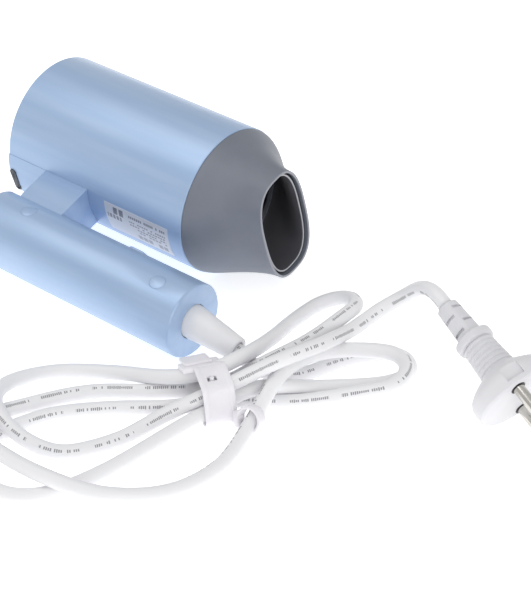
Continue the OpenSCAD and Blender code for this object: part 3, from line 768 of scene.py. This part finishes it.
def flange_mesh(bm):
    widths = [(-15, 7.3, 7.3, 2), (-14, 8.6, 8.2, 2), (-12.4, 11.6, 9.9, 2.05), (-10.6, 14.6, 11.8, 2.1),
              (-8.8, 16.8, 13.1, 2.15), (-7.2, 17.8, 13.75, 2.2), (-5.8, 18, 13.9, 2.2),
              (-1.9, 18, 13.9, 2.2), (-1.2, 17.8, 13.7, 2.2), (-0.7, 17.3, 13.2, 2.2),
              (-0.4, 16.6, 12.5, 2.2)]
    skin(bm, [section(x, a, b, p, 96, PLUG) for x, a, b, p in widths])


plug = piece("mains_plug", plug_mesh, "handle", "white_pvc", "plug_body")
for i, x in enumerate((-46.6, -43.0, -39.4, -35.8)):
    across = PLUG @ Matrix.Rotation(math.radians(45 + 90 * (i % 2)), 4, "X")
    cut(plug, *[box((x - 0.7, 3.7, -2.9), (x + 0.7, 8, 2.9),
                    across @ Matrix.Rotation(turn, 4, "X")) for turn in (0, math.pi)])
carve(plug, "UNION", flange_mesh)
cut(plug, box((-12, -2.4, 12.4), (-3, 5.2, 16), PLUG), peg((-1.4, -7, 2), (1, 0, 0), 2, 1.3, PLUG),
    *[peg((-3, 0, z), (1, 0, 0), 4, 3.2, PLUG) for z in CONTACTS])
soften(plug, 0.35, 3, 28)


def pins_mesh(bm):
    for z in CONTACTS:
        lathe(bm, [(-8, 0), (-8, 2.0), (-0.2, 2.0), (0, 2.4)] + arc(17.4, 1.2, 1.2, 90, 0, 6) + [(18.6, 0)],
              PLUG @ Matrix.Translation((0, 0, z)), steps=48)


def collars_mesh(bm):
    for z in CONTACTS:
        closed_lathe(bm, [(-1.0, 2.0), (-1.0, 3.15), (-0.35, 3.15), (-0.2, 3.0), (-0.2, 2.0)],
                     PLUG @ Matrix.Translation((0, 0, z)), steps=48)


pins = piece("contact_pins", pins_mesh, "handle", "nickel", "plug_pins")
collars = piece("pin_bases", collars_mesh, "handle", "black_plastic", "pin_collars")

TIE = (Matrix.Scale(MM, 4) @ Matrix.Translation((95.5, -62.5, 0))
       @ Matrix.Rotation(math.radians(-33), 4, "Z"))
STRANDS = [(6.5, 4.6), (5, 7.6), (0, 4.4), (-9.5, 4.6), (-8, 12.5), (-5, 15.6), (3.5, 13.8), (3, 9.5)]


def round_strands(r, y, n=144):
    """The line of a strap pulled tight round the strands, r from their centres, as a ring at y."""
    ring = []
    for i in range(n):
        d = Vector((math.cos(2 * math.pi * i / n), math.sin(2 * math.pi * i / n)))
        s = max(STRANDS, key=lambda at: at[0] * d.x + at[1] * d.y)
        ring.append(TIE @ Vector((s[0] + r * d.x, y, max(s[1] + r * d.y, 0.15 + (r < 4) * 0.6))))
    return ring


def strap_mesh(bm):
    edge = [(3.2, -6.1), (3.5, -6.5), (4.1, -6.5), (4.4, -6.1), (4.4, -4.6), (4.15, -4.3), (4.15, 4.3),
            (4.4, 4.6), (4.4, 6.1), (4.1, 6.5), (3.5, 6.5), (3.2, 6.1)]
    skin(bm, [round_strands(r, y) for r, y in edge], closed=True)


tie = piece("cord_strap", strap_mesh, "handle", "tie_plastic", "cord_tie", smooth=50)
button = TIE @ Matrix.Translation((1.0, -1, 17.4)) @ Matrix.Rotation(-math.pi / 2, 4, "Y")
cut(tie, box((-0.2, -2.9, 14), (2.2, 0.9, 24), TIE))
soften(tie, 0.3)


def tie_details(bm):
    plate = TIE @ Matrix.Translation((-9.8, -2.5, 17.3)) @ Matrix.Rotation(math.radians(-22), 4, "Y")
    # The tongue pulled through the buckle, its folded end, and the stub that holds the ring.
    box((-4.6, -8.2, -1.1), (4.6, 8.2, 1.1), plate)(bm)
    box((-8.4, -6.6, 0.9), (2.2, 4.6, 2.3), plate)(bm)
    box((10.4, 4.2, 2.5), (15.0, 7.6, 8.4), TIE)(bm)


details = piece("strap_buckle", tie_details, "handle", "tie_plastic")
soften(details, 0.55, 3)
loop_at = (TIE @ Matrix.Translation((17.5, 9.5, 8)) @ Matrix.Rotation(math.radians(35), 4, "Z")
           @ Matrix.Rotation(math.radians(68), 4, "X") @ Matrix.Rotation(-math.pi / 2, 4, "Y"))
loop = piece("strap_ring", lambda bm: closed_lathe(
    bm, [(-2.5, 4.6), (-2.5, 5.3), (-2.1, 5.6), (2.1, 5.6), (2.5, 5.3), (2.5, 4.6), (2.1, 4.4), (-2.1, 4.4)],
    loop_at, steps=64), "handle", "tie_plastic")
stud = piece("strap_stud", lambda bm: lathe(
    bm, [(0, 0), (0, 0.9), (1.5, 0.9), (1.8, 0.6), (1.8, 0)], button, steps=32),
    "handle", "tie_plastic")

# ---- materials of the new pieces ----------------------------------------------


def rim_highlighted_plastic(name, light, dark, rim, starts, rough=0.46):
    """Moulded plastic whose front rim, in front of starts, is painted paler: a painted highlight where the
    edge catches the light.
    """
    look = Look(name, rough=rough)
    x, _, _ = look.xyz()
    body = look.blend(look.ramp(look.noise(45.0, 4.0), 0.3, 0.7), dark, light)
    # Painted highlight: the base colour turns to the pale rim colour in front of starts, standing in for
    # light caught on the lip.
    look.colour(look.blend(look.ramp(x, starts * MM, (starts + 0.35) * MM), body, rim))
    look.put("Roughness", rough - 0.05 + 0.1 * look.noise(150.0))
    look.bump(look.noise(2400.0, 2.0), 0.00002)
    return look


# The pale rim colours given here are painted highlights on the front lips of the nozzle and the duct.
rim_highlighted_plastic("nozzle_grey_painted_rim_highlight", srgb(122, 127, 138), srgb(114, 119, 130), srgb(150, 152, 160),
       FRONT_X - 0.5).on(shell)
rim_highlighted_plastic("duct_grey_painted_rim_highlight", srgb(104, 104, 110), srgb(94, 94, 100), srgb(176, 177, 182),
       DUCT_END - 0.4, 0.5).on(duct)
PEARL.on(barrel, neck, handle_top, handle_bottom, *caps)
for name in ("heater_ribs", "posts_upper", "posts_lower"):
    PEARL.on(bpy.data.objects[name])
GRILLE.on(tab)
PVC.on(relief)
plastic("plug_white", srgb(223, 223, 226), srgb(215, 215, 219), rough=0.5, grain=1500.0, sss=0.05).on(plug)
STRAP.on(tie, details, loop, stud)
NICKEL.on(pins)
BLACK.on(collars)

# Rating sticker: silvery film with generic grey bars, and no lettering.
film = Look("label_white", rough=0.3, metallic=0.15, coat=0.3)
lx, ly, lz = film.xyz()
ux = lx / MM
uz = (lz / MM - BARREL_R) * math.cos(TILT) - (ly / MM - BARREL_Y) * math.sin(TILT)


def bars(x0, x1, z0, z1, pitch, fill, seed):
    """A row of short bars between x0 and x1, z0 and z1, some of them left out."""
    inside = (ux > x0) * (ux < x1) * (uz > z0) * (uz < z1)
    cell = ux / pitch + seed
    keep = film.node("TexWhiteNoise", 0, {"noise_dimensions": "1D"}, W=cell.floor()) > 0.22
    return inside * keep * (cell.part() < fill)


ink = bars(-7, 3.5, 3.6, 7.2, 3.3, 0.72, 3)
for row, (z0, z1, x0) in enumerate(((5.0, 6.3, 5.5), (2.6, 3.4, 5.5), (1.0, 1.8, 5.5), (-0.6, 0.2, 8),
                                    (-2.2, -1.4, 10), (0.6, 3.0, -7))):
    ink = ink.most(bars(x0, 26 if x0 > 0 else 1, z0, z1, 1.1 + 0.17 * row, 0.7, 5 * row))
ink = ink.most(bars(8, 26, -6.6, -3.8, 2.9, 0.8, 40) * 0.8)
film.colour(film.blend(ink * 0.8, srgb(216, 217, 222), srgb(88, 88, 94)))
film.put("Roughness", 0.26 + 0.12 * film.noise(140.0))
film.bump(film.noise(700.0), 0.00001)
film.on("rating_label")

# ---- the cord's points in metres, worked out and not kept ----------------------

tuple(CORD_LINE[0] * MM)
[tuple(p * MM) for p in CORD_LINE]

# ---- floor and light -----------------------------------------------------------

floor_mesh = bpy.data.meshes.new("floor")
FLOOR_HALF, FLOOR_Z = 6, -0.0002
corners = [(x * FLOOR_HALF, y * FLOOR_HALF, FLOOR_Z) for x, y in ((-1, -1), (1, -1), (1, 1), (-1, 1))]
floor_mesh.from_pydata(corners, [], [(0, 1, 2, 3)])
floor = bpy.data.objects.new("floor", floor_mesh)
bpy.context.scene.collection.objects.link(floor)
paper = Look("paper", rough=0.9)
paper.colour(srgb(246, 246, 247))
paper.put("Emission Color", (1.0, 1.0, 1.0, 1.0))
paper.put("Emission Strength", 0.6)
paper.on(floor)

world = bpy.data.worlds.new("studio")
world.use_nodes = True
world.node_tree.nodes["Background"].inputs[0].default_value = (1.0, 1.0, 1.0, 1.0)
world.node_tree.nodes["Background"].inputs[1].default_value = 0.62
bpy.context.scene.world = world
bpy.context.scene.view_settings.view_transform = "Standard"


def softbox(name, place, aim, size, power):
    lamp = bpy.data.lights.new(name, "AREA")
    lamp.shape = "RECTANGLE"
    lamp.size, lamp.size_y = size
    lamp.energy = power
    obj = bpy.data.objects.new(name, lamp)
    bpy.context.scene.collection.objects.link(obj)
    obj.location = Vector(place)
    look_along(obj, (Vector(place) - Vector(aim)).normalized(), Vector((0.1, 1, 0.2)).normalized())


softbox("key", (-0.5, -0.2, 1.3), (0.05, 0, 0), (0.9, 0.9), 4.6)
softbox("side", (1.2, -0.6, 0.6), (0.05, 0, 0.02), (0.8, 0.8), 4.3)
